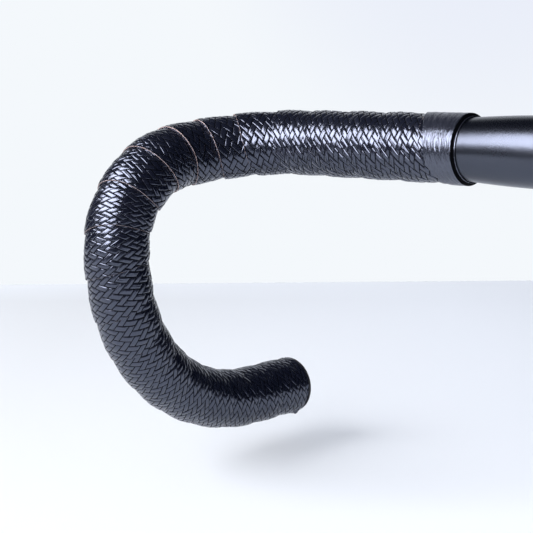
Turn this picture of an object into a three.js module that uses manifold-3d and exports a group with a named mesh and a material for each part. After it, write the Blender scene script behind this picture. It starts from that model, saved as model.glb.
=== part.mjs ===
// A taped drop handlebar: one bent aluminium tube, a spiral of handlebar tape on each side,
// a finishing band round the inner end of each tape, and a push-in plug in each bar end.
//
// Millimetres, +Z up. The origin is the middle of the clamp zone, the tops run along X,
// and the bike faces -Y, so the rider's right hand holds the -X side.
// One side is built, on -X, and the other is its mirror image.

import * as THREE from 'three';
import { mergeVertices } from 'three/addons/utils/BufferGeometryUtils.js';
import Module from 'manifold-3d';

// Centre line of the bar, from the middle outwards
const HALF_WIDTH = 207;            // middle of the bar to the grip, where the corner ends
const CORNER_RADIUS = 46.5;
const REACH_SLOPE = 8.5;           // degrees below level where the reach leaves the corner
const REACH_BEND_RADIUS = 39.5;
const REACH_BEND_ANGLE = 88.5;
const DROP_BEND_RADIUS = 110;
const DROP_BEND_ANGLE = 83;
const GRIP_END_LENGTH = 36;        // the straight end of the drop
const FLARE = 9;                   // degrees that each drop leans outwards

// Tube
const CLAMP_DIAMETER = 31.8;
const CLAMP_ZONE = 44;             // full diameter over this length in the middle
const TAPER_LENGTH = 93;           // from the clamp diameter down to the grip diameter
const GRIP_DIAMETER = 23.8;
const TUBE_WALL = 1.6;

// Tape
const TAPE_START = 71.5;           // inner end of the tape, under the finishing band
const CREST_BUILD = 4.4;           // outside of a turn over the grip diameter, at its highest
const EDGE_BUILD = 4.3;            // the same at its cut edge
const FOOT_BUILD = 3.35;           // the turn below, at the foot of that edge
const MIDDLE_BUILD = 4;            // a third of the way across a turn
const PITCH_TOPS = 22.6;           // advance of each turn
const PITCH_BEND = 17.9;
const PITCH_DROP = 20.3;
const BEND_FROM = 190;             // the pitch changes at these distances from the middle
const BEND_TO = 275;
const FIRST_EDGE = 84.7;           // a cut edge crosses the top of the bar here

// Finishing band
const BAND_START = 62;             // the band's full thickness begins here
const BAND_LIP_LENGTH = 1.6;       // it tapers down to the bar over this length
const BAND_LIP_THICKNESS = 0.4;    // thickness there
const BAND_BUILD = 4.55;           // outside of the band over the grip diameter
const BAND_THICKNESS = 0.6;
const BAND_NARROW = 14.5;          // width in front and below
const BAND_WIDE = 25.5;            // width at its cut end, behind the top
const BAND_CUT_ANGLE = 35;         // degrees behind the top
const BAND_SWEEP = 130;            // degrees over which the width runs out

// End plug
const PLUG_FLANGE_BUILD = 3.9;     // the flange's rim over the grip diameter
const PLUG_FLANGE_THICKNESS = 2.2;
const PLUG_DOME = 0.9;             // the flange's middle stands this much proud of its rim
const PLUG_STEM_LENGTH = 19;
const PLUG_STEM_PLAY = 1.8;        // between the stem and the bore, bridged by the barbs
const PLUG_WALL = 1.5;
const PLUG_BARBS = 2;

const CLEARANCE = 0.3;             // between pieces that touch

// Facets
const TUBE_SIDES = 20;
const BORE_SIDES = 12;
const TAPE_SIDES = 20;
const BAND_SIDES = 20;
const PLUG_SIDES = 16;
const BEND_STEP = 12;              // degrees
const TAPER_STEPS = 6;

const wasm = await Module();
wasm.setup();

const gripRadius = GRIP_DIAMETER / 2;
const crestRadius = gripRadius + CREST_BUILD;
const bandRadius = gripRadius + BAND_BUILD;
const flangeRadius = gripRadius + PLUG_FLANGE_BUILD;
const stemRadius = gripRadius - TUBE_WALL - PLUG_STEM_PLAY;

const radians = THREE.MathUtils.degToRad;
const vector = (x, y, z) => new THREE.Vector3(x, y, z);

// The centre line is a chain of stretches. Each knows its start, its heading and its up
// direction there, and a bend also knows the axis that it turns about.
function straight(length) {
  return { length, axis: null, radius: Infinity };
}

function bend(radius, angle, axis) {
  return { length: radius * angle, axis, radius };
}

// The place, heading and up direction after a distance along one stretch
function along(stretch, distance) {
  const { point, heading, up, axis, radius } = stretch;
  if (!axis) {
    return { point: point.clone().addScaledVector(heading, distance), heading, up };
  }
  const angle = distance / radius;
  const inward = axis.clone().cross(heading);
  return {
    point: point.clone()
      .addScaledVector(heading, radius * Math.sin(angle))
      .addScaledVector(inward, radius * (1 - Math.cos(angle))),
    heading: heading.clone().applyAxisAngle(axis, angle),
    up: up.clone().applyAxisAngle(axis, angle),
  };
}

function centreLine() {
  const outward = vector(-1, 0, 0);
  const forward = vector(0, -1, 0);
  const down = vector(-Math.sin(radians(FLARE)), 0, -Math.cos(radians(FLARE)));
  const hookAxis = forward.clone().cross(down);
  const reach = forward.clone().applyAxisAngle(hookAxis, radians(REACH_SLOPE));
  const cornerAxis = outward.clone().cross(reach).normalize();
  const cornerAngle = outward.angleTo(reach);
  const corner = bend(CORNER_RADIUS, cornerAngle, cornerAxis);
  const start = { point: vector(0, 0, 0), heading: outward, up: vector(0, 0, 1) };
  const cornerReach = -along({ ...corner, ...start }, corner.length).point.x;
  const stretches = [
    straight(HALF_WIDTH - cornerReach),
    corner,
    bend(REACH_BEND_RADIUS, radians(REACH_BEND_ANGLE), hookAxis),
    bend(DROP_BEND_RADIUS, radians(DROP_BEND_ANGLE), hookAxis),
    straight(GRIP_END_LENGTH),
  ];
  let place = start;
  let from = 0;
  for (const stretch of stretches) {
    Object.assign(stretch, place, { from });
    place = along(stretch, stretch.length);
    from += stretch.length;
  }
  return stretches;
}

const line = centreLine();
const lastStretch = line.at(-1);
const visibleLength = lastStretch.from + lastStretch.length;
const tubeEnd = visibleLength - PLUG_FLANGE_THICKNESS - CLEARANCE;

// The place at a distance from the middle of the bar. Past the ends the line runs straight on,
// and a negative distance gives the mirrored side.
function placeAt(distance) {
  const reached = Math.abs(distance);
  const stretch = line.findLast((candidate) => candidate.from <= reached);
  const place = along(stretch, reached - stretch.from);
  const side = place.heading.clone().cross(place.up);
  if (distance >= 0) {
    return { ...place, side };
  }
  const mirrored = (v) => vector(-v.x, v.y, v.z);
  return {
    point: mirrored(place.point),
    heading: mirrored(place.heading),
    up: mirrored(place.up),
    side: mirrored(side),
  };
}

// A point on the skin: angle 0 is the top of the bar, and it grows towards the rider
function skinPoint(distance, angle, radius) {
  const { point, up, side } = placeAt(distance);
  return point.clone()
    .addScaledVector(up, radius * Math.cos(angle))
    .addScaledVector(side, radius * Math.sin(angle));
}

function tubeRadius(distance) {
  const run = (Math.abs(distance) - CLAMP_ZONE / 2) / TAPER_LENGTH;
  const share = 0.5 + 0.5 * Math.cos(Math.PI * THREE.MathUtils.clamp(run, 0, 1));
  return (GRIP_DIAMETER + (CLAMP_DIAMETER - GRIP_DIAMETER) * share) / 2;
}

const boreRadius = (distance) => tubeRadius(distance) - TUBE_WALL;

// Distances at which the tube needs a ring, on one side of the middle
function stations(from, to) {
  const marks = [from, to];
  for (let step = 0; step <= TAPER_STEPS; step += 1) {
    marks.push(CLAMP_ZONE / 2 + TAPER_LENGTH * step / TAPER_STEPS);
  }
  for (const stretch of line) {
    const steps = stretch.axis
      ? Math.ceil(stretch.length / stretch.radius / radians(BEND_STEP))
      : 1;
    for (let step = 0; step < steps; step += 1) {
      marks.push(stretch.from + stretch.length * step / steps);
    }
  }
  const shortest = 1;
  return marks
    .filter((mark) => mark === from || mark === to || (mark > from + shortest && mark < to - shortest))
    .sort((a, b) => a - b)
    .filter((mark, index, sorted) => index === 0 || mark - sorted[index - 1] > shortest / 2);
}

function geometryFrom(points, triangles) {
  const geometry = new THREE.BufferGeometry();
  const numbers = points.flatMap((point) => point.toArray());
  geometry.setAttribute('position', new THREE.Float32BufferAttribute(numbers, 3));
  geometry.setIndex(triangles.flat());
  return geometry;
}

// A closed solid swept through rings at the given distances, with a flat cap at each end
function swept(distances, radiusAt, sides) {
  const points = distances.flatMap((distance) => Array.from({ length: sides }, (_, corner) => (
    skinPoint(distance, 2 * Math.PI * corner / sides, radiusAt(distance)))));
  const triangles = [];
  for (let ring = 0; ring + 1 < distances.length; ring += 1) {
    for (let corner = 0; corner < sides; corner += 1) {
      const next = (corner + 1) % sides;
      const here = ring * sides;
      const ahead = here + sides;
      triangles.push([here + corner, here + next, ahead + next]);
      triangles.push([here + corner, ahead + next, ahead + corner]);
    }
  }
  const first = points.length;
  const last = first + 1;
  points.push(placeAt(distances[0]).point, placeAt(distances.at(-1)).point);
  const lastRing = (distances.length - 1) * sides;
  for (let corner = 0; corner < sides; corner += 1) {
    const next = (corner + 1) % sides;
    triangles.push([first, next, corner]);
    triangles.push([last, lastRing + corner, lastRing + next]);
  }
  return geometryFrom(points, triangles);
}

// A closed ring round the bar. The profile gives [distance, radius] points for each angle.
function ring(profileAt, sides) {
  const profiles = Array.from({ length: sides }, (_, corner) => {
    const angle = 2 * Math.PI * corner / sides;
    return profileAt(angle).map(([distance, radius]) => skinPoint(distance, angle, radius));
  });
  const count = profiles[0].length;
  const triangles = [];
  for (let corner = 0; corner < sides; corner += 1) {
    const here = corner * count;
    const ahead = ((corner + 1) % sides) * count;
    for (let point = 0; point < count; point += 1) {
      const next = (point + 1) % count;
      triangles.push([here + point, ahead + point, ahead + next]);
      triangles.push([here + point, ahead + next, here + next]);
    }
  }
  return geometryFrom(profiles.flat(), triangles);
}

function solid(geometry) {
  const bare = geometry.clone();
  bare.deleteAttribute('normal');
  bare.deleteAttribute('uv');
  const merged = mergeVertices(bare, 1e-4);
  return new wasm.Manifold(new wasm.Mesh({
    numProp: 3,
    vertProperties: merged.attributes.position.array,
    triVerts: Uint32Array.from(merged.index.array),
  }));
}

function geometryOf(manifold) {
  const mesh = manifold.getMesh();
  const geometry = new THREE.BufferGeometry();
  geometry.setAttribute('position', new THREE.BufferAttribute(mesh.vertProperties, 3));
  geometry.setIndex(new THREE.BufferAttribute(mesh.triVerts, 1));
  return geometry;
}

function mirrorImage(geometry) {
  const image = geometry.clone().scale(-1, 1, 1);
  const index = Array.from(image.index.array);
  for (let corner = 0; corner < index.length; corner += 3) {
    [index[corner + 1], index[corner + 2]] = [index[corner + 2], index[corner + 1]];
  }
  image.setIndex(index);
  return image;
}

// The bent tube, open from end to end
function makeTube() {
  const side = stations(0, tubeEnd);
  const rings = [...side.slice(1).reverse().map((mark) => -mark), ...side];
  const past = 5;
  const boreRings = [-tubeEnd - past, ...rings.slice(1, -1), tubeEnd + past];
  const outside = solid(swept(rings, tubeRadius, TUBE_SIDES));
  const bore = solid(swept(boreRings, boreRadius, BORE_SIDES));
  return geometryOf(outside.subtract(bore));
}

// How many turns of tape lie between the first cut edge and a distance from the middle
const turnStretches = [
  { from: -Infinity, pitch: PITCH_TOPS, anchor: FIRST_EDGE, turns: 0 },
];
for (const [from, pitch] of [[BEND_FROM, PITCH_BEND], [BEND_TO, PITCH_DROP]]) {
  const before = turnStretches.at(-1);
  const turns = before.turns + (from - before.anchor) / before.pitch;
  turnStretches.push({ from, pitch, anchor: from, turns });
}

function turnsAt(distance) {
  const stretch = turnStretches.findLast((candidate) => candidate.from <= distance);
  return stretch.turns + (distance - stretch.anchor) / stretch.pitch;
}

function distanceAtTurns(turns) {
  const stretch = turnStretches.findLast((candidate, index) => index === 0 || candidate.turns <= turns);
  return stretch.anchor + (turns - stretch.turns) * stretch.pitch;
}

// The section of one turn: from the foot of its neighbour's edge, out to its own edge.
// Each point is a share of the pitch and the radius there.
const TURN_SECTION = [
  [0, gripRadius + FOOT_BUILD],
  [0.33, gripRadius + MIDDLE_BUILD],
  [0.68, crestRadius],
  [0.95, gripRadius + EDGE_BUILD],
];

// The outside of the whole spiral, with a turn to spare at each end
function makeTurns() {
  const perTurn = TURN_SECTION.length;
  const firstTurn = Math.floor(turnsAt(TAPE_START)) - 1;
  const lastTurn = Math.ceil(turnsAt(tubeEnd)) + 1;
  const rows = (lastTurn - firstTurn) * perTurn;
  const points = [];
  for (let row = 0; row <= rows + perTurn; row += 1) {
    const [share, radius] = TURN_SECTION[row % perTurn];
    const turn = firstTurn + Math.floor(row / perTurn) + share;
    for (let corner = 0; corner < TAPE_SIDES; corner += 1) {
      const round = corner / TAPE_SIDES;
      points.push(skinPoint(distanceAtTurns(turn + round), 2 * Math.PI * round, radius));
    }
  }
  // Going once round the bar leads on to the same row of the next turn
  const at = (row, corner) => (
    corner < TAPE_SIDES ? row * TAPE_SIDES + corner : (row + perTurn) * TAPE_SIDES);
  const triangles = [];
  for (let row = 0; row < rows; row += 1) {
    for (let corner = 0; corner < TAPE_SIDES; corner += 1) {
      triangles.push([at(row, corner), at(row, corner + 1), at(row + 1, corner + 1)]);
      triangles.push([at(row, corner), at(row + 1, corner + 1), at(row + 1, corner)]);
    }
  }
  const rim = (row) => [
    ...Array.from({ length: TAPE_SIDES }, (_, corner) => at(row, corner)),
    ...Array.from({ length: perTurn }, (_, step) => at(row + perTurn - step, 0)),
  ];
  for (const [row, closing] of [[0, false], [rows, true]]) {
    const turn = firstTurn + Math.floor(row / perTurn) + 0.5;
    const centre = points.length;
    points.push(placeAt(distanceAtTurns(turn)).point);
    const loop = rim(row);
    loop.forEach((corner, index) => {
      const next = loop[(index + 1) % loop.length];
      triangles.push(closing ? [centre, corner, next] : [centre, next, corner]);
    });
  }
  return geometryFrom(points, triangles);
}

// A round block that cuts everything beyond a distance, towards or away from the middle
function endCutter(distance, direction) {
  const length = 3 * PITCH_TOPS;
  const radius = 2 * crestRadius;
  const { point, heading } = placeAt(distance);
  const block = new THREE.CylinderGeometry(radius, radius, length, TAPE_SIDES);
  block.translate(0, length / 2, 0);
  const turn = new THREE.Quaternion().setFromUnitVectors(
    vector(0, 1, 0), heading.clone().multiplyScalar(direction));
  block.applyQuaternion(turn);
  block.translate(point.x, point.y, point.z);
  return solid(block);
}

// Where the finishing band ends on the tape. It is widest at its cut end, behind the top of
// the bar, and runs out to its narrow width over the front.
function bandEnd(angle) {
  const pastCut = THREE.MathUtils.euclideanModulo(radians(BAND_CUT_ANGLE) - angle, 2 * Math.PI);
  const share = THREE.MathUtils.smoothstep(pastCut, 0, radians(BAND_SWEEP));
  return BAND_START + BAND_WIDE + (BAND_NARROW - BAND_WIDE) * share;
}

const bandSeatRadius = bandRadius - BAND_THICKNESS;
const seatedRadius = (distance) => tubeRadius(distance) + CLEARANCE;

function makeBand() {
  const lipEnd = BAND_START - BAND_LIP_LENGTH;
  const step = TAPE_START - CLEARANCE;
  return ring((angle) => [
    [lipEnd, seatedRadius(lipEnd)],
    [lipEnd, seatedRadius(lipEnd) + BAND_LIP_THICKNESS],
    [BAND_START, bandRadius],
    [bandEnd(angle), bandRadius],
    [bandEnd(angle), bandSeatRadius],
    [step, bandSeatRadius],
    [step, seatedRadius(step)],
  ], BAND_SIDES);
}

// The space that the band needs, taken out of the tape
function bandSpace() {
  const inside = bandSeatRadius - CLEARANCE;
  const outside = Math.max(crestRadius, bandRadius) + CLEARANCE;
  return solid(ring((angle) => [
    [BAND_START, inside],
    [BAND_START, outside],
    [bandEnd(angle) + CLEARANCE, outside],
    [bandEnd(angle) + CLEARANCE, inside],
  ], BAND_SIDES));
}

// The tape: every turn in one piece, hollow where it goes round the bar
function makeTape() {
  const spare = 10;
  const core = solid(swept(
    stations(TAPE_START - spare, tubeEnd + spare), seatedRadius, TUBE_SIDES));
  const tape = solid(makeTurns())
    .subtract(core)
    .subtract(endCutter(TAPE_START, -1))
    .subtract(endCutter(tubeEnd, 1))
    .subtract(bandSpace());
  return geometryOf(tape);
}

// The plug: a thin domed flange over the cut end of the tape, and a hollow stem with barbs
function makePlug() {
  const barbRadius = boreRadius(tubeEnd) * Math.cos(Math.PI / BORE_SIDES) - CLEARANCE;
  const barbSpacing = PLUG_STEM_LENGTH / (PLUG_BARBS + 1);
  const barbs = Array.from({ length: PLUG_BARBS }, (_, barb) => barbSpacing * (barb + 1)).flatMap(
    (depth) => [
      [stemRadius, depth - barbSpacing / 4],
      [barbRadius, depth],
      [stemRadius, depth + barbSpacing / 2],
    ]);
  // Each point is a radius and a depth behind the flange's seat
  const profile = [
    [0, -PLUG_FLANGE_THICKNESS],
    [flangeRadius / 2, PLUG_DOME / 3 - PLUG_FLANGE_THICKNESS],
    [flangeRadius - PLUG_DOME / 2, PLUG_DOME - PLUG_FLANGE_THICKNESS],
    [flangeRadius, PLUG_DOME * 1.5 - PLUG_FLANGE_THICKNESS],
    [flangeRadius, 0],
    [stemRadius, 0],
    ...barbs,
    [stemRadius - PLUG_WALL / 2, PLUG_STEM_LENGTH],
    [stemRadius - PLUG_WALL, PLUG_STEM_LENGTH],
    [stemRadius - PLUG_WALL, PLUG_WALL],
    [0, PLUG_WALL],
  ];
  const outline = profile.map(([radius, depth]) => new THREE.Vector2(radius, -depth));
  const plug = new THREE.LatheGeometry(outline.reverse(), PLUG_SIDES);
  const { point, heading } = placeAt(tubeEnd + CLEARANCE);
  plug.applyQuaternion(new THREE.Quaternion().setFromUnitVectors(vector(0, 1, 0), heading));
  plug.translate(point.x, point.y, point.z);
  return plug;
}

const black = {
  anodised: { color: 0x1b1d22, roughness: 0.32, metalness: 0.85 },
  tape: { color: 0x17181c, roughness: 0.45, metalness: 0 },
  band: { color: 0x1a1b20, roughness: 0.38, metalness: 0 },
  plug: { color: 0x0f1013, roughness: 0.5, metalness: 0 },
};

function piece(name, geometry, finish) {
  geometry.computeVertexNormals();
  const mesh = new THREE.Mesh(geometry, new THREE.MeshStandardMaterial(finish));
  mesh.name = name;
  return mesh;
}

const handlebar = new THREE.Group();
handlebar.add(piece('handlebar_tube', makeTube(), black.anodised));
const dressings = [
  ['bar_tape', makeTape(), black.tape],
  ['finishing_band', makeBand(), black.band],
  ['end_plug', makePlug(), black.plug],
];
for (const [name, geometry, finish] of dressings) {
  const indexed = geometry.index ? geometry : mergeVertices(geometry);
  handlebar.add(piece(`${name}_right`, indexed, finish));
  handlebar.add(piece(`${name}_left`, mirrorImage(indexed), finish));
}

export default handlebar;
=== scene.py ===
import math

import bmesh
import bpy
import numpy as np
from mathutils import Matrix, Quaternion, Vector


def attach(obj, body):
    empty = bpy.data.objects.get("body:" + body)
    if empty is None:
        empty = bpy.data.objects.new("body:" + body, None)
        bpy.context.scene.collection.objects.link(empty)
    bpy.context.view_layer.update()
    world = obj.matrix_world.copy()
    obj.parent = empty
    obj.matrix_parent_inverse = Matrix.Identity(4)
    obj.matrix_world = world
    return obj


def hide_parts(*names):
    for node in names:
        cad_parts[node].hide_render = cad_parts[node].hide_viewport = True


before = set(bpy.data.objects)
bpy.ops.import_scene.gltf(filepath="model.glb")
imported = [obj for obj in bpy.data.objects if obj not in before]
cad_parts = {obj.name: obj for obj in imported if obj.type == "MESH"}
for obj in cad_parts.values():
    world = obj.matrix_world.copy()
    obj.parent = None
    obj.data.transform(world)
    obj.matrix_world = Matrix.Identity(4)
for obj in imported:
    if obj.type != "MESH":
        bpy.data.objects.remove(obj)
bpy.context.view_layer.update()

TURN = 2 * math.pi

# The shape of the bar, in millimetres, as in part.mjs. Distances run along its centre line from
# the middle outwards. The right side, on -X, is built, and the left is its mirror image.
HALF_WIDTH = 207
CORNER_RADIUS = 46.5
REACH_SLOPE = math.radians(8.5)
REACH_BEND = (39.5, math.radians(88.5))    # radius and sweep
DROP_BEND = (110, math.radians(83))
GRIP_END_LENGTH = 36
FLARE = math.radians(9)

CLAMP_DIAMETER = 31.8
CLAMP_ZONE = 44
TAPER_LENGTH = 93
GRIP_DIAMETER = 23.8
TUBE_WALL = 1.6

TAPE_START = 71.5
TURN_SHARES = (0, 0.33, 0.68, 0.95, 1)     # of the pitch, from a turn's foot to its cut edge
TURN_RADII = (15.25, 15.9, 16.3, 16.2, 16.1)
PITCH_TOPS = 22.6
PITCH_BEND = 17.9
PITCH_DROP = 20.3
BEND_FROM = 190
BEND_TO = 275
FIRST_EDGE = 84.7

BAND_START = 62
BAND_LIP_LENGTH = 1.6
BAND_LIP_RADIUS = 15.0
BAND_RADIUS = 16.45
BAND_THICKNESS = 0.55
BAND_NARROW = 14.5
BAND_WIDE = 25.5
BAND_CUT_ANGLE = math.radians(35)
BAND_SWEEP = math.radians(130)
BAND_RUN_OUT = 6.5                 # it narrows by this much more where it ends below the bar
BAND_RUN_OUT_SWEEP = math.radians(85)
BAND_LAPS = 5
BAND_LAP_STEP = 0.18
BAND_RIPPLE = 0.03

PLUG_FLANGE_RADIUS = 15.8
PLUG_FLANGE_THICKNESS = 2.2
PLUG_DOME = 0.9
PLUG_ROUNDING = 0.6
PLUG_STEM_LENGTH = 19
PLUG_STEM_RADIUS = 8.5
PLUG_BARB_ROOM = 0.45              # between a barb and the tube's wall
PLUG_WALL = 1.5
PLUG_CENTRE = 0.01                 # the radius of the small face in the middle of its ends
CLEARANCE = 0.3

# The braid embossed on the tape: strands of two cords that run over two and under two
STRAND_WIDTH = 2.65
STRAND_ANGLE = math.radians(28)    # from the length of the tape, to either side
# Places across a strand: the groove beside it, one cord, the line between the cords, the other
FLOAT_SECTION = (0, 0.16, 0.5, 0.84)
GROOVE_DEPTH = 0.5
CORD_GROOVE = 0.08                 # the line between the cords is this much lower
FLOAT_CROWN = 0.14                 # the middle of a float stands this much over its ends
STRAND_CROWN = 0.07                # and over its sides
FLOAT_TILT = 0.10                  # each leans to one side by up to this much
FLOAT_SPREAD = 0.1                 # and between the highest and the lowest float lies this much
REPEAT = 4                         # strands after which the weave repeats
MEAN_RADIUS = 15.9
WIDEST = 33                        # of the tape, where it goes round the outside of a bend

# How the braid is laid out, in turns of the tape
EDGE_STEPS = 360                   # to a turn
PAST_START, PAST_END = 1.4, 0.4    # it is laid this far past the tape's ends
PAST_SIDES = 0.16                  # and past its sides, and then cut
TILT_SMOOTHING = 90                # steps to either side, for the direction of the tape
SPARE_STRANDS = (30, 3)            # tried past the ends and the sides

# How it is cut: how near to a cut a point is left alone or counts as lying on it, and how near to
# each other two points become one
CUT_NEAR = 1e-6
ON_CUT = 4e-6
ONE_POINT = 2e-5

# The turns were pulled along a little by hand, most on the inner side of the hook: distances from
# the middle, and how far a cut edge lies from its even spiral there, for two sides of the bar
DRIFT_AT = (180, 205, 225, 245, 262, 285, 305, 340)
DRIFT_BY_SIDE = (
    (math.radians(285), (0, 3, 5.5, 2.4, -1, -5, -4.2, 0)),
    (math.radians(200), (0, 0, 0.5, 1, 5.5, 3.5, 0.5, 0)),
)
DRIFT_FOCUS = 1.5                  # the higher, the narrower the part that was pulled

# The cut edge, from the outside down: how far it leans over, and its height over the next turn
EDGE_RIBBON = ((0.10, 0.90), (0.18, 0.78), (0.15, 0.46))
EDGE_FLAT_FROM, EDGE_FLATTENED = 0.965, 0.7    # the relief grows flatter towards the cut edge

# Past the band's end the tape rises to its full height. Under the band it keeps this gap.
RISE_FROM, RISE_TO = 0.3, 2.4
UNDER_BAND = 0.4

TAPE_INNER_SIDES, TAPE_INNER_RINGS = 48, 84
FACET_SHARE = 0.5                  # of a face's own direction in the normals of the tape
TINY = 1e-18

TUBE_SIDES = 96
# Its rings, closest where it swells: (from, to, how many), and from there on one every so often
TUBE_RINGS = ((0, 70, 36), (70, 150, 17))
TUBE_RINGS_FROM, TUBE_RING_STEP = 155, 4.5
TUBE_END_EASED = 0.25
BAND_SIDES = 180
BAND_ROWS = 40
PLUG_SIDES = 96
SHARP = math.radians(40)
BAND_SHARP = math.radians(50)


def turned(vector, axis, angles):
    """The vector turned about an axis by each of the angles."""
    cos, sin = np.cos(angles)[:, None], np.sin(angles)[:, None]
    return vector * cos + np.cross(axis, vector) * sin + axis * (axis @ vector) * (1 - cos)


def along(stretch, distance):
    """Points, headings and up directions at distances along one stretch of the centre line."""
    start, heading, up, axis, radius, _ = stretch
    if axis is None:
        same = np.ones((len(distance), 1))
        return start + distance[:, None] * heading, same * heading, same * up
    angle = distance / radius
    inward = np.cross(axis, heading)
    ahead, aside = np.sin(angle)[:, None], (1 - np.cos(angle))[:, None]
    points = start + radius * (ahead * heading + aside * inward)
    return points, turned(heading, axis, angle), turned(up, axis, angle)


def centre_line():
    """Stretches (start, heading, up, axis and radius of the bend, distance from the middle), and
    the length of them all."""
    outward, forward = np.array([-1.0, 0, 0]), np.array([0, -1.0, 0])
    down = np.array([-math.sin(FLARE), 0, -math.cos(FLARE)])
    hook_axis = np.cross(forward, down)
    reach = turned(forward, hook_axis, np.array([REACH_SLOPE]))[0]
    corner_axis = np.cross(outward, reach)
    corner_axis /= np.linalg.norm(corner_axis)
    corner_angle = math.acos(outward @ reach)
    inward = np.cross(corner_axis, outward)
    corner = math.sin(corner_angle) * outward + (1 - math.cos(corner_angle)) * inward
    corner_reach = -(CORNER_RADIUS * corner)[0]
    place = (np.zeros(3), outward, np.array([0, 0, 1.0]))
    distance = 0
    line = []
    for axis, radius, length in (
        (None, 0, HALF_WIDTH - corner_reach),
        (corner_axis, CORNER_RADIUS, CORNER_RADIUS * corner_angle),
        (hook_axis, REACH_BEND[0], REACH_BEND[0] * REACH_BEND[1]),
        (hook_axis, DROP_BEND[0], DROP_BEND[0] * DROP_BEND[1]),
        (None, 0, GRIP_END_LENGTH),
    ):
        stretch = (*place, axis, radius, distance)
        line.append(stretch)
        place = tuple(v[0] for v in along(stretch, np.array([length])))
        distance += length
    return line, distance


LINE, VISIBLE_LENGTH = centre_line()
STRETCH_ENDS = [stretch[5] for stretch in LINE[1:]] + [math.inf]
TUBE_END = VISIBLE_LENGTH - PLUG_FLANGE_THICKNESS - CLEARANCE

# The tape's end is tucked into the tube under the plug, with a small lump on the underside
TUCK_HEIGHT = 1.3
TUCK_LENGTH, TUCK_SPREAD = 1.3, 0.16
TUCK_AT, TUCK_ANGLE = TUBE_END - 3.0, math.radians(-54)


def around(sides):
    """The angles of so many points round the bar."""
    return TURN * np.arange(sides) / sides


def skin(distance, angle, radius):
    """Points on the bar's right side. Angle 0 is the top, and it grows towards the rider."""
    distance, angle, radius = np.broadcast_arrays(
        *(np.atleast_1d(np.asarray(v, float)) for v in (distance, angle, radius)))
    point, heading, up = (np.empty((len(distance), 3)) for _ in range(3))
    for stretch, low, high in zip(LINE, [-math.inf] + STRETCH_ENDS, STRETCH_ENDS):
        inside = (distance >= low) & (distance < high)
        point[inside], heading[inside], up[inside] = along(stretch, distance[inside] - stretch[5])
    side = np.cross(heading, up)
    return point + radius[:, None] * (np.cos(angle)[:, None] * up + np.sin(angle)[:, None] * side)


def stretches_at(angle):
    """For each stretch its start, and how much longer than the centre line the skin is there."""
    for start, heading, up, axis, radius, begins in LINE:
        if axis is None:
            yield begins, np.ones_like(angle)
        else:
            inward, side = np.cross(axis, heading), np.cross(heading, up)
            yield begins, 1 - MEAN_RADIUS / radius * (
                (inward @ up) * np.cos(angle) + (inward @ side) * np.sin(angle))


def skin_distance(distance, angle):
    """How far along the skin a distance along the centre line is, at one bar angle."""
    total = np.zeros_like(distance)
    low = -math.inf
    for (begins, scale), high in zip(stretches_at(angle), STRETCH_ENDS):
        total += scale * (np.clip(distance, low, high) - begins)
        low = high
    return total


def centre_distance(walked, angle):
    """The reverse of skin_distance."""
    start = np.zeros_like(walked)
    result = walked.copy()
    for (begins, scale), end in zip(stretches_at(angle), STRETCH_ENDS):
        result = np.where(walked >= start, begins + (walked - start) / scale, result)
        if end < math.inf:
            start = start + scale * (end - begins)
    return result


def tube_radius(distance):
    run = np.clip((np.abs(distance) - CLAMP_ZONE / 2) / TAPER_LENGTH, 0, 1)
    swell = 0.5 + 0.5 * np.cos(math.pi * run)
    return (GRIP_DIAMETER + (CLAMP_DIAMETER - GRIP_DIAMETER) * swell) / 2


# Distances along the bar, and the turns of tape counted there from the first cut edge
TURN_MARKS = np.array([-200.0, BEND_FROM, BEND_TO, 700.0])
TURNS_TO_BEND = (BEND_FROM - FIRST_EDGE) / PITCH_TOPS
TURNS_TO_DROP = TURNS_TO_BEND + (BEND_TO - BEND_FROM) / PITCH_BEND
TURN_COUNTS = np.array([
    (TURN_MARKS[0] - FIRST_EDGE) / PITCH_TOPS,
    TURNS_TO_BEND,
    TURNS_TO_DROP,
    TURNS_TO_DROP + (TURN_MARKS[-1] - BEND_TO) / PITCH_DROP,
])


def turns_at(distance):
    return np.interp(distance, TURN_MARKS, TURN_COUNTS)


def distance_at(turns):
    return np.interp(turns, TURN_COUNTS, TURN_MARKS)


def smoothstep(value, low, high):
    share = np.clip((value - low) / (high - low), 0, 1)
    return share * share * (3 - 2 * share)


def band_end(angle):
    past_cut = np.mod(BAND_CUT_ANGLE - angle, TURN)
    wide = BAND_WIDE + (BAND_NARROW - BAND_WIDE) * smoothstep(past_cut, 0, BAND_SWEEP)
    run_out = smoothstep(past_cut, BAND_SWEEP, BAND_SWEEP + BAND_RUN_OUT_SWEEP)
    return BAND_START + wide - BAND_RUN_OUT * run_out


def mesh_from(name, points, faces, materials, indices=None):
    """A mesh from points in millimetres."""
    mesh = bpy.data.meshes.new(name)
    mesh.from_pydata([tuple(p) for p in np.asarray(points) / 1000], [],
                     [tuple(int(i) for i in f) for f in faces])
    for material in materials:
        mesh.materials.append(material)
    if indices is not None:
        mesh.polygons.foreach_set("material_index", np.asarray(indices, np.int32))
    mesh.shade_smooth()
    return mesh


def write(mesh, name, domain, values):
    attribute = mesh.attributes.new(name, "FLOAT", domain)
    attribute.data.foreach_set("value", np.asarray(values, np.float32))


def linked(name, data):
    made = bpy.data.objects.new(name, data)
    bpy.context.collection.objects.link(made)
    return made


def finished(mesh, node):
    piece = linked(mesh.name, mesh)
    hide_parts(node)
    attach(piece, "root")


def flipped(faces):
    return [tuple(reversed(f)) for f in faces]


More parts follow.
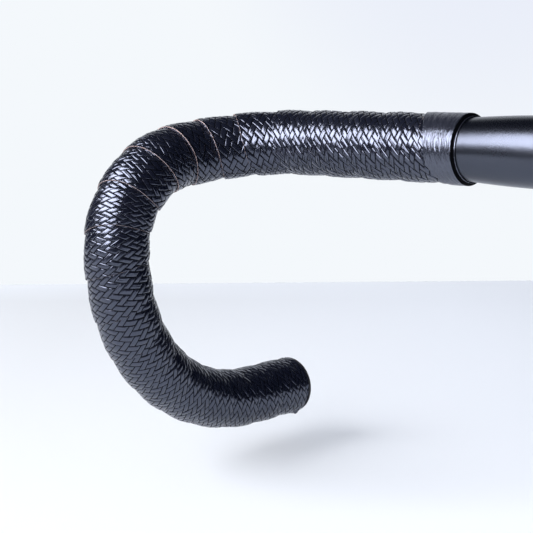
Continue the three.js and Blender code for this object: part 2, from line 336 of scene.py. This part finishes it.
def zipper(first, first_marks, second, second_marks):
    """Triangles between two rows of points, each with rising marks that tell where they meet."""
    faces = []
    i = j = 0
    while i + 1 < len(first) or j + 1 < len(second):
        if j + 1 == len(second) or (
                i + 1 < len(first) and first_marks[i + 1] <= second_marks[j + 1]):
            faces.append((first[i], first[i + 1], second[j]))
            i += 1
        else:
            faces.append((first[i], second[j + 1], second[j]))
            j += 1
    return faces


def surface(rows, closed):
    """Faces between neighbouring rows of point numbers, as many in each row."""
    faces = []
    for here, ahead in zip(rows, rows[1:]):
        count = len(here)
        for k in range(count if closed else count - 1):
            n = (k + 1) % count
            faces.append((here[k], here[n], ahead[n], ahead[k]))
    return faces


def row_numbers(row, sides):
    """The point numbers of one row, where each row has so many points."""
    return list(range(row * sides, (row + 1) * sides))


def hashed(numbers, seed):
    """A number from 0 to 1 for each whole number, always the same."""
    return np.mod(np.sin(numbers * 12.9898 + seed * 78.233) * 43758.5453, 1)


def floats(i, j):
    """For cells of the weave, by strand: the place in its repeat, and the number of the float on
    top. In the first half of a repeat it lies along the second coordinate."""
    phase = np.mod(i - j, REPEAT)
    repeats = (i - j) // REPEAT
    first_kind = phase < REPEAT // 2
    return phase, first_kind, np.where(first_kind, i * 31 + repeats * 17, j * 37 + repeats * 13 + 5)


def braid():
    """The embossed face of the whole tape, still flat: points (bar angle, share of the turn,
    height), strand coordinates, faces, and for each face its float's number and direction.

    The tape isn't stretched by the bends: its braid is laid out from its cut edge inwards, in
    true distances along the skin."""
    turns = np.arange(
        turns_at(TAPE_START) - PAST_START, turns_at(TUBE_END) + PAST_END, 1 / EDGE_STEPS)
    edge_angle, edge = TURN * turns, distance_at(turns + 1)
    ahead = skin_distance(edge + 0.5, edge_angle) - skin_distance(edge - 0.5, edge_angle)
    slope = ahead * np.gradient(edge, edge_angle)
    step = np.hypot(MEAN_RADIUS, slope) * (edge_angle[1] - edge_angle[0])
    length = np.concatenate([[0], np.cumsum(step[:-1])])
    window = np.hanning(2 * TILT_SMOOTHING + 1)
    padded = np.pad(np.arctan2(slope, MEAN_RADIUS), TILT_SMOOTHING, mode="edge")
    tilt = np.convolve(padded, window / window.sum(), mode="valid")

    run = STRAND_WIDTH / (2 * math.sin(STRAND_ANGLE))
    rise = STRAND_WIDTH / (2 * math.cos(STRAND_ANGLE))

    def laid(i, j):
        """Bar angle and share of the turn for places in strand widths."""
        along_tape, inward = (i + j) * run, (j - i) * rise
        start = np.interp(along_tape, length, edge_angle)
        lean = np.interp(along_tape, length, tilt)
        angle = start + inward * np.sin(lean) / MEAN_RADIUS
        walked = skin_distance(distance_at(start / TURN + 1), angle) - inward * np.cos(lean)
        return angle, turns_at(centre_distance(walked, angle)) - angle / TURN

    spare_long, spare_wide = SPARE_STRANDS
    i, across = np.meshgrid(
        np.arange(-spare_long, int(length[-1] / run / 2) + spare_long),
        np.arange(-spare_wide, int(WIDEST / rise) + spare_wide), indexing="ij")
    i, j = i.ravel(), (i + across).ravel()
    _, share = laid(i + 0.5, j + 0.5)
    along_tape = (i + j + 1) * run
    kept = ((share > -PAST_SIDES) & (share < 1 + PAST_SIDES)
            & (along_tape > 0) & (along_tape < length[-1]))
    i, j = i[kept], j[kept]
    _, first_kind, number = floats(i, j)
    parts = len(FLOAT_SECTION)
    corners = []
    for a in range(parts):
        for b in range(parts):
            low_i, low_j = parts * i + a, parts * j + b
            corners.append(np.stack(
                [low_i, low_j, low_i + 1, low_j, low_i + 1, low_j + 1, low_i, low_j + 1], 1))
    numbers, directions = np.tile(number, parts * parts), np.tile(~first_kind, parts * parts)
    unique, faces = np.unique(
        np.concatenate(corners).reshape(-1, 2), axis=0, return_inverse=True)
    faces = faces.reshape(-1, 4)

    (cell_i, cell_j), (sub_i, sub_j) = (unique // parts).T, (unique % parts).T
    section = np.array(FLOAT_SECTION)
    place_i, place_j = cell_i + section[sub_i], cell_j + section[sub_j]
    phase, first_kind, number = floats(cell_i, cell_j)
    sideways = 2 * section[np.where(first_kind, sub_i, sub_j)] - 1
    lengthwise = section[np.where(first_kind, sub_j, sub_i)] + np.isin(phase, (0, 3)) - 1
    lean = (hashed(number, 1) * 2 - 1) * FLOAT_TILT * sideways
    height = ((hashed(number, 2) - 0.5) * FLOAT_SPREAD + lean
              - STRAND_CROWN * sideways ** 2 - FLOAT_CROWN * lengthwise ** 2)
    height[sideways == 0] -= CORD_GROOVE
    # Between the two cells of one float there is no groove
    middle = (((sub_i == 0) & (sub_j > 0) & (phase == 3))
              | ((sub_j == 0) & (sub_i > 0) & (phase == 0)))
    height[((sub_i == 0) | (sub_j == 0)) & ~middle] = -GROOVE_DEPTH
    angle, share = laid(place_i, place_j)
    return (np.stack([angle, share, height], 1), np.stack([place_i, place_j], 1), faces,
            numbers, directions.astype(int))


def trimmed_braid():
    """The braid cut to the tape's edges and ends."""
    points, strands, faces, numbers, directions = braid()
    flat = bpy.data.meshes.new("flat")
    flat.from_pydata(points.tolist(), [], faces.tolist())
    work = bmesh.new()
    work.from_mesh(flat)
    bpy.data.meshes.remove(flat)
    tag, way = work.faces.layers.int.new("number"), work.faces.layers.int.new("direction")
    first, second = (work.verts.layers.float.new(layer) for layer in ("first", "second"))
    for face, number, direction in zip(work.faces, numbers.tolist(), directions.tolist()):
        face[tag], face[way] = number, direction
    for vertex, (i, j) in zip(work.verts, strands.tolist()):
        vertex[first], vertex[second] = i, j
    start, end = turns_at(TAPE_START), turns_at(TUBE_END)
    sideways, lengthwise = Vector((0, 1, 0)), Vector((1 / TURN, 1, 0))
    for normal, offset, outer in (
        (sideways, 0, False),
        (sideways, 1, True),
        (lengthwise, start, False),
        (lengthwise, end, True),
    ):
        bmesh.ops.bisect_plane(
            work, geom=work.verts[:] + work.edges[:] + work.faces[:], dist=CUT_NEAR,
            plane_co=normal * (offset / normal.dot(normal)), plane_no=normal,
            clear_outer=outer, clear_inner=not outer)
    bmesh.ops.remove_doubles(work, verts=work.verts[:], dist=ONE_POINT)
    work.verts.index_update()
    points = np.array([v.co[:] for v in work.verts])
    faces = [[v.index for v in f.verts] for f in work.faces]
    numbers = np.array([(f[tag], f[way]) for f in work.faces])
    strands = np.array([(v[first], v[second]) for v in work.verts])
    work.free()
    return points, strands, faces, numbers, start, end


def drift(distance, angle):
    """How far the tape was pulled along the bar. It falls off round the bar from each side named."""
    return sum(
        np.interp(distance, DRIFT_AT, pulled) * (0.5 + 0.5 * np.cos(angle - side)) ** DRIFT_FOCUS
        for side, pulled in DRIFT_BY_SIDE)


def tuck(distance, angle):
    """The height of the lump by the tucked end."""
    aside = np.mod(angle - TUCK_ANGLE + math.pi, TURN) - math.pi
    return TUCK_HEIGHT * np.exp(
        -((distance - TUCK_AT) / TUCK_LENGTH) ** 2 - (aside / TUCK_SPREAD) ** 2)


def tape_points(angle, share, height):
    """Places and radii on the tape, kept low under the finishing band."""
    distance = distance_at(angle / TURN + share)
    distance = distance + drift(distance, angle)
    relief = height * (1 - EDGE_FLATTENED * smoothstep(share, EDGE_FLAT_FROM, 1))
    radius = np.interp(share, TURN_SHARES, TURN_RADII) + relief + tuck(distance, angle)
    risen = smoothstep(distance - band_end(angle), RISE_FROM, RISE_TO)
    low = BAND_RADIUS - BAND_THICKNESS - UNDER_BAND
    return distance, low + (radius - low) * risen


def woven_tape(name, materials):
    flat, strands, faces, numbers, start, end = trimmed_braid()
    faces = flipped(faces)
    angle, share, height = flat.T
    distance, radius = tape_points(angle, share, height)
    points = [skin(distance, angle, radius)]
    groove = [smoothstep(-height, GROOVE_DEPTH * 0.5, GROOVE_DEPTH)]
    strands = [strands]
    count = len(flat)
    material = [0] * len(faces)
    tones = list(hashed(numbers[:, 0], 3))
    directions = list(numbers[:, 1])

    def add(more, depth):
        nonlocal count
        points.append(more)
        groove.append(np.full(len(more), float(depth)))
        strands.append(np.zeros((len(more), 2)))
        count += len(more)
        return list(range(count - len(more), count))

    def append(new, which):
        faces.extend(new)
        material.extend([which] * len(new))
        tones.extend([0.5] * len(new))
        directions.extend([0] * len(new))

    def sorted_where(chosen):
        found = np.flatnonzero(chosen)
        return found[np.argsort(angle[found])]

    # The cut edge of each turn stands over the foot of the next
    edge, foot = sorted_where(share > 1 - ON_CUT), sorted_where(share < ON_CUT)
    rows = [list(edge)]
    _, below = tape_points(angle[edge] + TURN, 0 * angle[edge], 0)
    for outward, level in EDGE_RIBBON:
        rows.append(add(skin(
            distance[edge] + outward, angle[edge], below + (radius[edge] - below) * level), 0))
    for k, (here, ahead) in enumerate(zip(rows, rows[1:])):
        append(surface([here, ahead], False), min(k, 1))
    append(zipper(rows[-1], angle[edge], list(foot), angle[foot] - TURN), 0)

    # The inside, round the bar, and a flat end at each side
    sides = TAPE_INNER_SIDES
    # Its points count as groove bottoms, so the inside is painted with the groove shade
    rings = [add(skin(mark, around(sides), tube_radius(mark) + CLEARANCE), 1)
             for mark in np.linspace(TAPE_START, TUBE_END, TAPE_INNER_RINGS)]
    append(flipped(surface(rings, True)), 0)
    for ring, turn, at_start in ((rings[0], start, True), (rings[-1], end, False)):
        cut = sorted_where(np.abs(angle / TURN + share - turn) < 5 * ON_CUT)
        wall = [row[0 if at_start else -1] for row in rows[1:]]
        base = TURN * (turn - 1)
        loop = list(cut) + list(reversed(wall)) + [cut[0]]
        loop_marks = list(angle[cut]) + [base + TURN] * (len(wall) + 1)
        first = math.ceil(base / TURN * sides - 1e-9)
        inner = [ring[(first + k) % sides] for k in range(sides + 1)]
        inner_marks = [(first + k) * TURN / sides for k in range(sides + 1)]
        new = zipper(loop, loop_marks, inner, inner_marks)
        append(flipped(new) if at_start else new, 0)

    mesh = mesh_from(name, np.concatenate(points), faces, materials, material)
    strands = np.concatenate(strands)
    write(mesh, "groove", "POINT", np.concatenate(groove))
    write(mesh, "tone", "FACE", tones)
    write(mesh, "direction", "FACE", directions)
    write(mesh, "first", "POINT", strands[:, 0])
    write(mesh, "second", "POINT", strands[:, 1])
    return mesh


def weigh_normals(mesh):
    """Normals between those of the faces and those of a smooth skin, so that cords look round."""
    count = len(mesh.polygons)
    normals, areas = np.empty(count * 3), np.empty(count)
    totals = np.empty(count, np.int32)
    mesh.polygons.foreach_get("normal", normals)
    mesh.polygons.foreach_get("area", areas)
    mesh.polygons.foreach_get("loop_total", totals)
    corners = np.empty(len(mesh.loops), np.int32)
    mesh.loops.foreach_get("vertex_index", corners)
    normals = normals.reshape(-1, 3)
    summed = np.zeros((len(mesh.vertices), 3))
    np.add.at(summed, corners, np.repeat(normals * areas[:, None], totals, axis=0))
    summed[np.linalg.norm(summed, axis=1) < TINY] = (0, 0, 1)
    summed /= np.maximum(np.linalg.norm(summed, axis=1), TINY)[:, None]
    own = summed[corners] + FACET_SHARE * np.repeat(normals, totals, axis=0)
    mesh.normals_split_custom_set((own / np.linalg.norm(own, axis=1)[:, None]).tolist())


def mirrored(mesh, name):
    other = mesh.copy()
    other.name = name
    places = np.empty(len(other.vertices) * 3)
    other.vertices.foreach_get("co", places)
    places[::3] *= -1
    other.vertices.foreach_set("co", places)
    other.flip_normals()
    other.update()
    return other


def tube_mesh(name, materials):
    half = np.unique(np.concatenate([
        *(np.linspace(*rings) for rings in TUBE_RINGS),
        np.arange(TUBE_RINGS_FROM, TUBE_END, TUBE_RING_STEP), [TUBE_END]]))
    marks = np.concatenate([-half[:0:-1], half])
    points, places = [], []

    def ring(mark, radius):
        made = skin(abs(mark), around(TUBE_SIDES), radius)
        if mark < 0:
            made[:, 0] *= -1
        points.append(made)
        places.append(np.full(TUBE_SIDES, float(mark)))
        return row_numbers(len(points) - 1, TUBE_SIDES)

    outside = [ring(m, tube_radius(m) - (TUBE_END_EASED if abs(m) == TUBE_END else 0))
               for m in marks]
    inside = [ring(m, tube_radius(m) - TUBE_WALL) for m in marks]
    faces = surface(outside, True)
    faces += flipped(surface(inside, True))
    faces += flipped(surface([outside[0], inside[0]], True))
    faces += surface([outside[-1], inside[-1]], True)
    mesh = mesh_from(name, np.concatenate(points), faces, materials)
    write(mesh, "first", "POINT", np.concatenate(places))
    mesh.set_sharp_from_angle(angle=SHARP)
    return mesh


def band_mesh(name, materials):
    """The finishing tape: wound flat, with each lap a hair proud of the last one."""
    angles = around(BAND_SIDES)
    end = band_end(angles)
    lip = BAND_START - BAND_LIP_LENGTH
    seat = TAPE_START - CLEARANCE
    underside = BAND_RADIUS - BAND_THICKNESS
    rows, marks = [], []

    def row(distance, radius):
        marks.append(np.broadcast_to(distance, BAND_SIDES))
        rows.append(skin(distance, angles, radius))

    # The lip, and the step up to the band, which is painted with shade over the black edges of its
    # layers
    inside = tube_radius(lip) + CLEARANCE
    for distance, radius in (
        (lip + 0.2, inside),
        (lip, inside + 0.06),
        (lip, BAND_LIP_RADIUS - 0.1),
        (lip + 0.08, BAND_LIP_RADIUS),
        (lip + 0.45, BAND_LIP_RADIUS + 0.02),
        (lip + 0.5, BAND_LIP_RADIUS - 0.1),
        (BAND_START - 0.12, BAND_RADIUS - 0.3),
        (BAND_START + 0.02, BAND_RADIUS - 0.12),
        (BAND_START + 0.22, BAND_RADIUS - 0.02),
    ):
        row(distance, radius)
    painted_shade_from, painted_shade_to = len(rows) - 4, len(rows) - 2
    for share in np.linspace(0.02, 0.98, BAND_ROWS):
        distance = BAND_START + 0.3 + (end - BAND_START - 0.5) * share
        lap = np.mod(share * BAND_LAPS - angles / TURN, 1)
        ripple = BAND_RIPPLE * np.sin(distance * 1.1 + 3 * angles) * np.sin(2 * angles + 1)
        sunk = BAND_LAP_STEP * (lap + smoothstep(lap, 0.85, 1.0)) / 2
        row(distance, BAND_RADIUS - sunk + ripple)
    for back, radius in (
        (0.1, BAND_RADIUS - 0.06),
        (0, BAND_RADIUS - 0.2),
        (0, underside + 0.1),
        (0.1, underside),
    ):
        row(end - back, radius)
    row(seat, underside)
    row(seat, tube_radius(seat) + CLEARANCE)
    numbers = [row_numbers(k, BAND_SIDES) for k in range(len(rows))]
    faces = surface(numbers + [numbers[0]], True)
    # The faces of the step take the painted shade
    painted_shade = np.zeros(len(faces), int)
    painted_shade[painted_shade_from * BAND_SIDES:painted_shade_to * BAND_SIDES] = 1
    mesh = mesh_from(name, np.concatenate(rows), faces, materials, painted_shade)
    write(mesh, "first", "POINT", np.concatenate(marks))
    write(mesh, "second", "POINT", np.tile(angles * BAND_RADIUS, len(rows)))
    mesh.set_sharp_from_angle(angle=BAND_SHARP)
    return mesh


def plug_mesh(name, materials):
    """A domed cap with a hollow stem and two barbs, turned from a profile of radii and depths."""
    face = -PLUG_FLANGE_THICKNESS
    barb = GRIP_DIAMETER / 2 - TUBE_WALL - PLUG_BARB_ROOM
    hollow = PLUG_STEM_RADIUS - PLUG_WALL
    profile = [(PLUG_CENTRE, face)]
    for share in (0.15, 0.3, 0.45, 0.6, 0.72, 0.82, 0.9):
        profile.append((PLUG_FLANGE_RADIUS * share, PLUG_DOME * share ** 2.2 + face))
    for turn in np.radians((12, 30, 50, 70, 88)):
        profile.append((PLUG_FLANGE_RADIUS - PLUG_ROUNDING + PLUG_ROUNDING * math.sin(turn),
                        PLUG_DOME + PLUG_ROUNDING - PLUG_ROUNDING * math.cos(turn) + face - 0.05))
    profile += [(PLUG_FLANGE_RADIUS, -0.25), (PLUG_FLANGE_RADIUS - 0.2, 0), (PLUG_STEM_RADIUS, 0)]
    spacing = PLUG_STEM_LENGTH / 3
    for depth in (spacing, 2 * spacing):
        profile += [(PLUG_STEM_RADIUS, depth - spacing / 4), (barb, depth - 0.3), (barb, depth),
                    (PLUG_STEM_RADIUS, depth + spacing / 2)]
    profile += [(PLUG_STEM_RADIUS - PLUG_WALL / 2, PLUG_STEM_LENGTH), (hollow, PLUG_STEM_LENGTH),
                (hollow, PLUG_WALL), (PLUG_CENTRE, PLUG_WALL)]
    seat = TUBE_END + CLEARANCE
    points = np.concatenate([
        skin(seat - depth, around(PLUG_SIDES), radius) for radius, depth in profile])
    rows = [row_numbers(k, PLUG_SIDES) for k in range(len(profile))]
    faces = flipped(surface(rows, True)) + [tuple(rows[0]), tuple(reversed(rows[-1]))]
    mesh = mesh_from(name, points, faces, materials)
    mesh.set_sharp_from_angle(angle=SHARP)
    return mesh


class Nodes:
    """A material's or world's nodes, with short calls."""

    def __init__(self, owner):
        owner.use_nodes = True
        self.tree = owner.node_tree
        self.tree.nodes.clear()

    def add(self, kind, inputs=None, **settings):
        node = self.tree.nodes.new("ShaderNode" + kind)
        for key, value in settings.items():
            setattr(node, key, value)
        for key, value in (inputs or {}).items():
            self.put(value, node.inputs[key])
        return node

    def put(self, value, socket):
        if isinstance(value, bpy.types.NodeSocket):
            self.tree.links.new(value, socket)
        else:
            socket.default_value = value

    def noise(self, place, scale, detail=3.0, roughness=0.5):
        return self.add("TexNoise", {"Vector": place, "Scale": scale, "Detail": detail,
                                     "Roughness": roughness}).outputs["Fac"]

    def ramp(self, value, low, high, to_low, to_high, **settings):
        inputs = {"Value": value, "From Min": low, "From Max": high,
                  "To Min": to_low, "To Max": to_high}
        return self.add("MapRange", inputs, **settings).outputs["Result"]

    def mix(self, share, first, second):
        node = self.add("Mix", data_type="RGBA")
        for number, value in ((0, share), (6, first), (7, second)):
            self.put(value, node.inputs[number])
        return node.outputs[2]

    def maths(self, operation, first, second):
        return self.add("Math", {0: first, 1: second}, operation=operation).outputs[0]

    def plus(self, first, second):
        return self.maths("ADD", first, second)

    def times(self, first, second):
        return self.maths("MULTIPLY", first, second)

    def attribute(self, name):
        node = self.add("Attribute", attribute_name=name, attribute_type="GEOMETRY")
        return node.outputs["Fac"]

    def place(self):
        return self.add("TexCoord").outputs["Object"]

    def point(self, *coordinates):
        return self.add("CombineXYZ", dict(enumerate(coordinates))).outputs[0]

    def dot(self, place, way):
        node = self.add("VectorMath", {0: place, 1: tuple(way)}, operation="DOT_PRODUCT")
        return node.outputs["Value"]

    def bump(self, height, strength, distance):
        return self.add("Bump", {"Height": height, "Strength": strength,
                                 "Distance": distance}).outputs["Normal"]

    def surface(self, **inputs):
        names = {key.replace("_", " "): value for key, value in inputs.items()}
        self.add("OutputMaterial", {"Surface": self.add("BsdfPrincipled", names).outputs[0]})


def new_material(name):
    material = bpy.data.materials.new(name)
    return material, Nodes(material)


def strand_noise(n, fine, coarse):
    """Streaks along the strands of the braid, which run along the first or the second coordinate."""
    first, second = n.attribute("first"), n.attribute("second")
    streaks = [n.noise(n.point(n.times(across, fine), n.times(lengthwise, coarse)), 1.0, 2.0)
               for across, lengthwise in ((first, second), (second, first))]
    direction = n.attribute("direction")
    return n.plus(n.times(streaks[0], n.maths("SUBTRACT", 1.0, direction)),
                  n.times(streaks[1], direction))


def turned_lines(n, scale):
    """Fine lines that run round the bar."""
    return n.noise(n.point(n.times(n.attribute("first"), scale)), 1.0, 3.0, 0.6)


def leather():
    material, n = new_material("embossed_tape")
    place = n.place()
    groove, tone = n.attribute("groove"), n.attribute("tone")
    patches = n.noise(place, 26.0)
    grain = n.noise(place, 2600.0, 3.0, 0.6)
    streaks = strand_noise(n, 3.2, 0.4)
    shade = n.plus(n.times(tone, 0.6), n.times(patches, 0.4))
    top = n.mix(shade, (0.0040, 0.0045, 0.0080, 1), (0.0080, 0.0090, 0.0150, 1))
    # Painted shade in the grooves: towards their bottom the tape is painted near black and reflects
    # almost nothing
    groove_shade = n.ramp(groove, 0.25, 0.70, 0.0, 1.0)
    colour = n.mix(groove_shade, top, (0.0010, 0.0011, 0.0018, 1))
    rough = n.plus(n.ramp(tone, 0.0, 1.0, 0.07, 0.17), n.times(groove_shade, 0.4))
    rough = n.plus(rough, n.times(streaks, 0.10))
    bump = n.bump(n.plus(n.times(grain, 0.15), streaks), 0.6, 0.0003)
    n.surface(Base_Color=colour, Roughness=rough, IOR=1.75,
              Specular_IOR_Level=n.ramp(groove_shade, 0, 1, 0.70, 0.02),
              Specular_Tint=(0.69, 0.76, 1.0, 1), Normal=bump)
    return material


def raw_edge():
    material, n = new_material("tape_cut_edge")
    place = n.place()
    fibres = n.noise(place, 1500.0, 4.0, 0.7)
    patches = n.noise(place, 60.0)
    pale = n.ramp(fibres, 0.3, 0.7, 0.0, 1.0)
    colour = n.mix(pale, (0.20, 0.145, 0.135, 1), (0.50, 0.39, 0.37, 1))
    soiled = n.ramp(patches, 0.35, 0.65, 0.0, 0.5)
    colour = n.mix(soiled, colour, (0.10, 0.065, 0.06, 1))
    n.surface(Base_Color=colour, Roughness=0.8, Specular_IOR_Level=0.3,
              Normal=n.bump(fibres, 0.4, 0.0001))
    return material


def anodised():
    material, n = new_material("black_anodised")
    place = n.place()
    fine = n.noise(place, 2400.0, 2.0)
    patches = n.noise(place, 18.0)
    mottle = n.noise(place, 260.0, 3.0, 0.6)
    colour = n.mix(patches, (0.060, 0.067, 0.089, 1), (0.077, 0.085, 0.109, 1))
    rough = n.plus(n.ramp(patches, 0.3, 0.7, 0.24, 0.29), n.times(fine, 0.05))
    height = n.plus(n.times(fine, 0.5), n.plus(turned_lines(n, 2.2), n.times(mottle, 2.5)))
    n.surface(Base_Color=colour, Metallic=1.0, Roughness=rough, Normal=n.bump(height, 0.18, 0.0001))
    return material


def finishing_tape():
    material, n = new_material("finishing_tape")
    place = n.place()
    patches = n.noise(place, 90.0, 4.0)
    fine = n.noise(place, 1400.0)
    skewed = n.maths("SUBTRACT", n.attribute("first"), n.times(n.attribute("second"), 0.2))
    stretch = n.point(n.times(skewed, 0.7), n.times(n.attribute("second"), 0.10))
    wrinkles = n.noise(stretch, 1.0, 3.0, 0.6)
    colour = n.mix(patches, (0.008, 0.009, 0.013, 1), (0.014, 0.015, 0.021, 1))
    height = n.plus(n.times(fine, 0.05), n.plus(turned_lines(n, 1.6), n.times(wrinkles, 1.6)))
    n.surface(Base_Color=colour, Roughness=n.ramp(patches, 0.3, 0.7, 0.18, 0.27), IOR=1.66,
              Specular_IOR_Level=1.0, Specular_Tint=(0.70, 0.77, 1.0, 1),
              Normal=n.bump(height, 0.7, 0.0004))
    return material


def band_step_shade():
    # Painted shade for the step up to the band: near black and almost without reflections, over the
    # black of its layers' own edges
    material, n = new_material("finishing_tape_step_shade")
    layers = n.noise(n.place(), 900.0)
    colour = n.mix(layers, (0.0005, 0.0006, 0.0012, 1), (0.0012, 0.0014, 0.0026, 1))
    n.surface(Base_Color=colour, Roughness=0.6, Specular_IOR_Level=0.04,
              Normal=n.bump(layers, 0.3, 0.0001))
    return material


def moulded():
    material, n = new_material("moulded_plug")
    place = n.place()
    fine = n.noise(place, 2200.0)
    patches = n.noise(place, 70.0)
    colour = n.mix(patches, (0.006, 0.006, 0.008, 1), (0.011, 0.011, 0.014, 1))
    n.surface(Base_Color=colour, Roughness=n.ramp(patches, 0.3, 0.7, 0.38, 0.48),
              Specular_IOR_Level=0.6, Normal=n.bump(fine, 0.2, 0.0001))
    return material


# The pieces
tape_right = woven_tape("woven_tape_right", (leather(), raw_edge()))
tape_left = mirrored(tape_right, "woven_tape_left")
for mesh, node in ((tape_right, "bar_tape_right"), (tape_left, "bar_tape_left")):
    weigh_normals(mesh)
    finished(mesh, node)

finished(tube_mesh("anodised_tube", (anodised(),)), "handlebar_tube")

for maker, base, materials, slot, node in (
    (band_mesh, "wound_band", (finishing_tape(), band_step_shade()), "band_tape", "finishing_band"),
    (plug_mesh, "domed_plug", (moulded(),), "plug_plastic", "end_plug"),
):
    right = maker(base + "_right", materials)
    finished(right, node + "_right")
    left = mirrored(right, base + "_left")
    left.set_sharp_from_angle(angle=SHARP)
    finished(left, node + "_left")

# The camera, as fitted to the photograph
CAMERA_AZIMUTH = math.radians(42.562)
CAMERA_ELEVATION = math.radians(8.430)
CAMERA_ROLL = -0.00805
CAMERA_DISTANCE = 0.64302
CAMERA_TARGET = Vector((-0.150085, -0.040, -0.056694))
PHOTO_SIZE = 533
FOCAL_PIXELS = 1350.37
SENSOR = 36.0

back = Vector((math.sin(CAMERA_AZIMUTH) * math.cos(CAMERA_ELEVATION),
               -math.cos(CAMERA_AZIMUTH) * math.cos(CAMERA_ELEVATION), math.sin(CAMERA_ELEVATION)))
level = (-back).cross(Vector((0, 0, 1))).normalized()
upright = level.cross(-back)
right_way = level * math.cos(CAMERA_ROLL) + upright * math.sin(CAMERA_ROLL)
up_way = upright * math.cos(CAMERA_ROLL) - level * math.sin(CAMERA_ROLL)
data = bpy.data.cameras.new("camera")
data.sensor_width = SENSOR
data.lens = FOCAL_PIXELS / PHOTO_SIZE * SENSOR
camera = linked("camera", data)
axes = Matrix((right_way, up_way, back)).transposed()
camera.matrix_world = Matrix.Translation(CAMERA_TARGET + back * CAMERA_DISTANCE) @ axes.to_4x4()
bpy.context.scene.camera = camera

# The floor ends behind the object, where the photograph shows its far edge. Its sides and ends
# are measured from the point below the camera.
FLOOR_HEIGHT = -0.177
FLOOR_FAR, FLOOR_NEAR = 1.337, 0.38
FLOOR_LEFT, FLOOR_RIGHT = -0.80, 0.30
FLOOR_PAINTED_SHADE_REACH = 0.17            # its painted shading changes from this far left to this far right
# The floor is painted paler towards its far end, over this strip and by this share: painted light
FLOOR_FAR_STRIP, FLOOR_FAR_PAINTED_LIGHT = 0.10, 0.6

away = Vector((-math.sin(CAMERA_AZIMUTH), math.cos(CAMERA_AZIMUTH), 0))
across = Vector((math.cos(CAMERA_AZIMUTH), math.sin(CAMERA_AZIMUTH), 0))
eye = camera.matrix_world.translation
under_camera = Vector((eye.x, eye.y, FLOOR_HEIGHT))


def floor_material():
    material, n = new_material("pale_floor")
    place = n.place()
    middle, far = under_camera.dot(across), under_camera.dot(away) + FLOOR_FAR
    # Painted shade and light: the floor is painted darker at the left, where the softbox lights it
    # most, and paler at the right
    from_left = n.ramp(
        n.dot(place, across), middle - FLOOR_PAINTED_SHADE_REACH, middle + FLOOR_PAINTED_SHADE_REACH, 0.0, 1.0)
    from_left = n.plus(from_left, n.times(n.noise(place, 3.0, 2.0), 0.06))
    colour = n.mix(from_left, (0.668, 0.694, 0.706, 1), (0.768, 0.806, 0.840, 1))
    # Painted light: paler towards the floor's far end
    far_painted_light = n.ramp(n.dot(place, away), far - FLOOR_FAR_STRIP, far, 0.0, FLOOR_FAR_PAINTED_LIGHT)
    colour = n.mix(far_painted_light, colour, (0.80, 0.84, 0.87, 1))
    n.surface(Base_Color=colour, Roughness=0.8, Specular_IOR_Level=0.15)
    return material


corners = [under_camera + away * far + across * wide for far, wide in (
    (FLOOR_NEAR, FLOOR_LEFT), (FLOOR_NEAR, FLOOR_RIGHT),
    (FLOOR_FAR, FLOOR_RIGHT), (FLOOR_FAR, FLOOR_LEFT))]
floor_mesh = bpy.data.meshes.new("floor")
floor_mesh.from_pydata([tuple(c) for c in corners], [], [(0, 1, 2, 3)])
floor_mesh.materials.append(floor_material())
floor = linked("floor", floor_mesh)

# One large softbox. It is made of three lamps, one just behind the other, so that the shadow on the
# floor stays as weak as in the photograph and the bar's sheen as strong: the second lamp casts no
# shadow and the third is only reflected.
SOFTBOX_AZIMUTH, SOFTBOX_ELEVATION = math.radians(-11), math.radians(29)
SOFTBOX_ROLL = math.radians(-20)
SOFTBOX_SIZE = (3.8, 1.75)
SOFTBOX_COLOUR = (1.0, 0.985, 1.0)
KEY_DISTANCE, FILL_DISTANCE, SHEEN_DISTANCE = 2.6, 2.7, 2.8
LAMP_POWER, SHEEN_POWER = 111, 137


def soft_light(name, distance, power):
    """A lamp that fills the softbox as seen from the object, at the power it would have there."""
    scale = distance / KEY_DISTANCE
    flat = math.cos(SOFTBOX_ELEVATION)
    way = Vector((math.sin(SOFTBOX_AZIMUTH) * flat, -math.cos(SOFTBOX_AZIMUTH) * flat,
                  math.sin(SOFTBOX_ELEVATION)))
    lamp = bpy.data.lights.new(name, "AREA")
    lamp.shape = "RECTANGLE"
    lamp.size, lamp.size_y = (side * scale for side in SOFTBOX_SIZE)
    lamp.energy = power * scale ** 2
    lamp.color = SOFTBOX_COLOUR
    light = linked(name, lamp)
    light.location = CAMERA_TARGET + way * distance
    light.rotation_mode = "QUATERNION"
    light.rotation_quaternion = way.to_track_quat("Z", "Y") @ Quaternion((0, 0, 1), SOFTBOX_ROLL)
    light.visible_camera = False
    return light


soft_light("key", KEY_DISTANCE, LAMP_POWER)
fill = soft_light("fill", FILL_DISTANCE, LAMP_POWER)
fill.data.use_shadow = False
fill.visible_glossy = False
soft_light("sheen", SHEEN_DISTANCE, SHEEN_POWER).visible_diffuse = False

# The world: a pale backdrop for the camera and, where it stands, for reflections, in a dim room.
# The backdrop is painted cooler and darker towards one corner: painted shade.
world = bpy.data.worlds.new("studio")
bpy.context.scene.world = world
n = Nodes(world)
direction = n.add("TexCoord").outputs["Generated"]
path = n.add("LightPath").outputs


def facing(way, low, high):
    return n.ramp(n.dot(direction, way), low, high, 0.0, 1.0, interpolation_type="SMOOTHSTEP")


# Painted shade: the backdrop grows cooler and darker towards this corner
shaded_corner_way = (away * 0.97 + across * 0.18 + Vector((0, 0, 0.16))).normalized()
pale = n.mix(facing(shaded_corner_way, 0.965, 1.0), (0.905, 0.939, 0.973, 1), (0.815, 0.850, 0.945, 1))
room = n.mix(path["Is Glossy Ray"], (0.205, 0.225, 0.285, 1), (0.010, 0.016, 0.038, 1))
seen = n.maths("MAXIMUM", path["Is Camera Ray"], path["Is Transmission Ray"])
seen = n.maths("MAXIMUM", seen, n.times(path["Is Glossy Ray"], facing(away, 0.72, 0.93)))
shown = n.add("Background", {"Color": n.mix(seen, room, pale), "Strength": 1.0})
n.add("OutputWorld", {"Surface": shown.outputs[0]})

bpy.context.scene.view_settings.view_transform = "Standard"
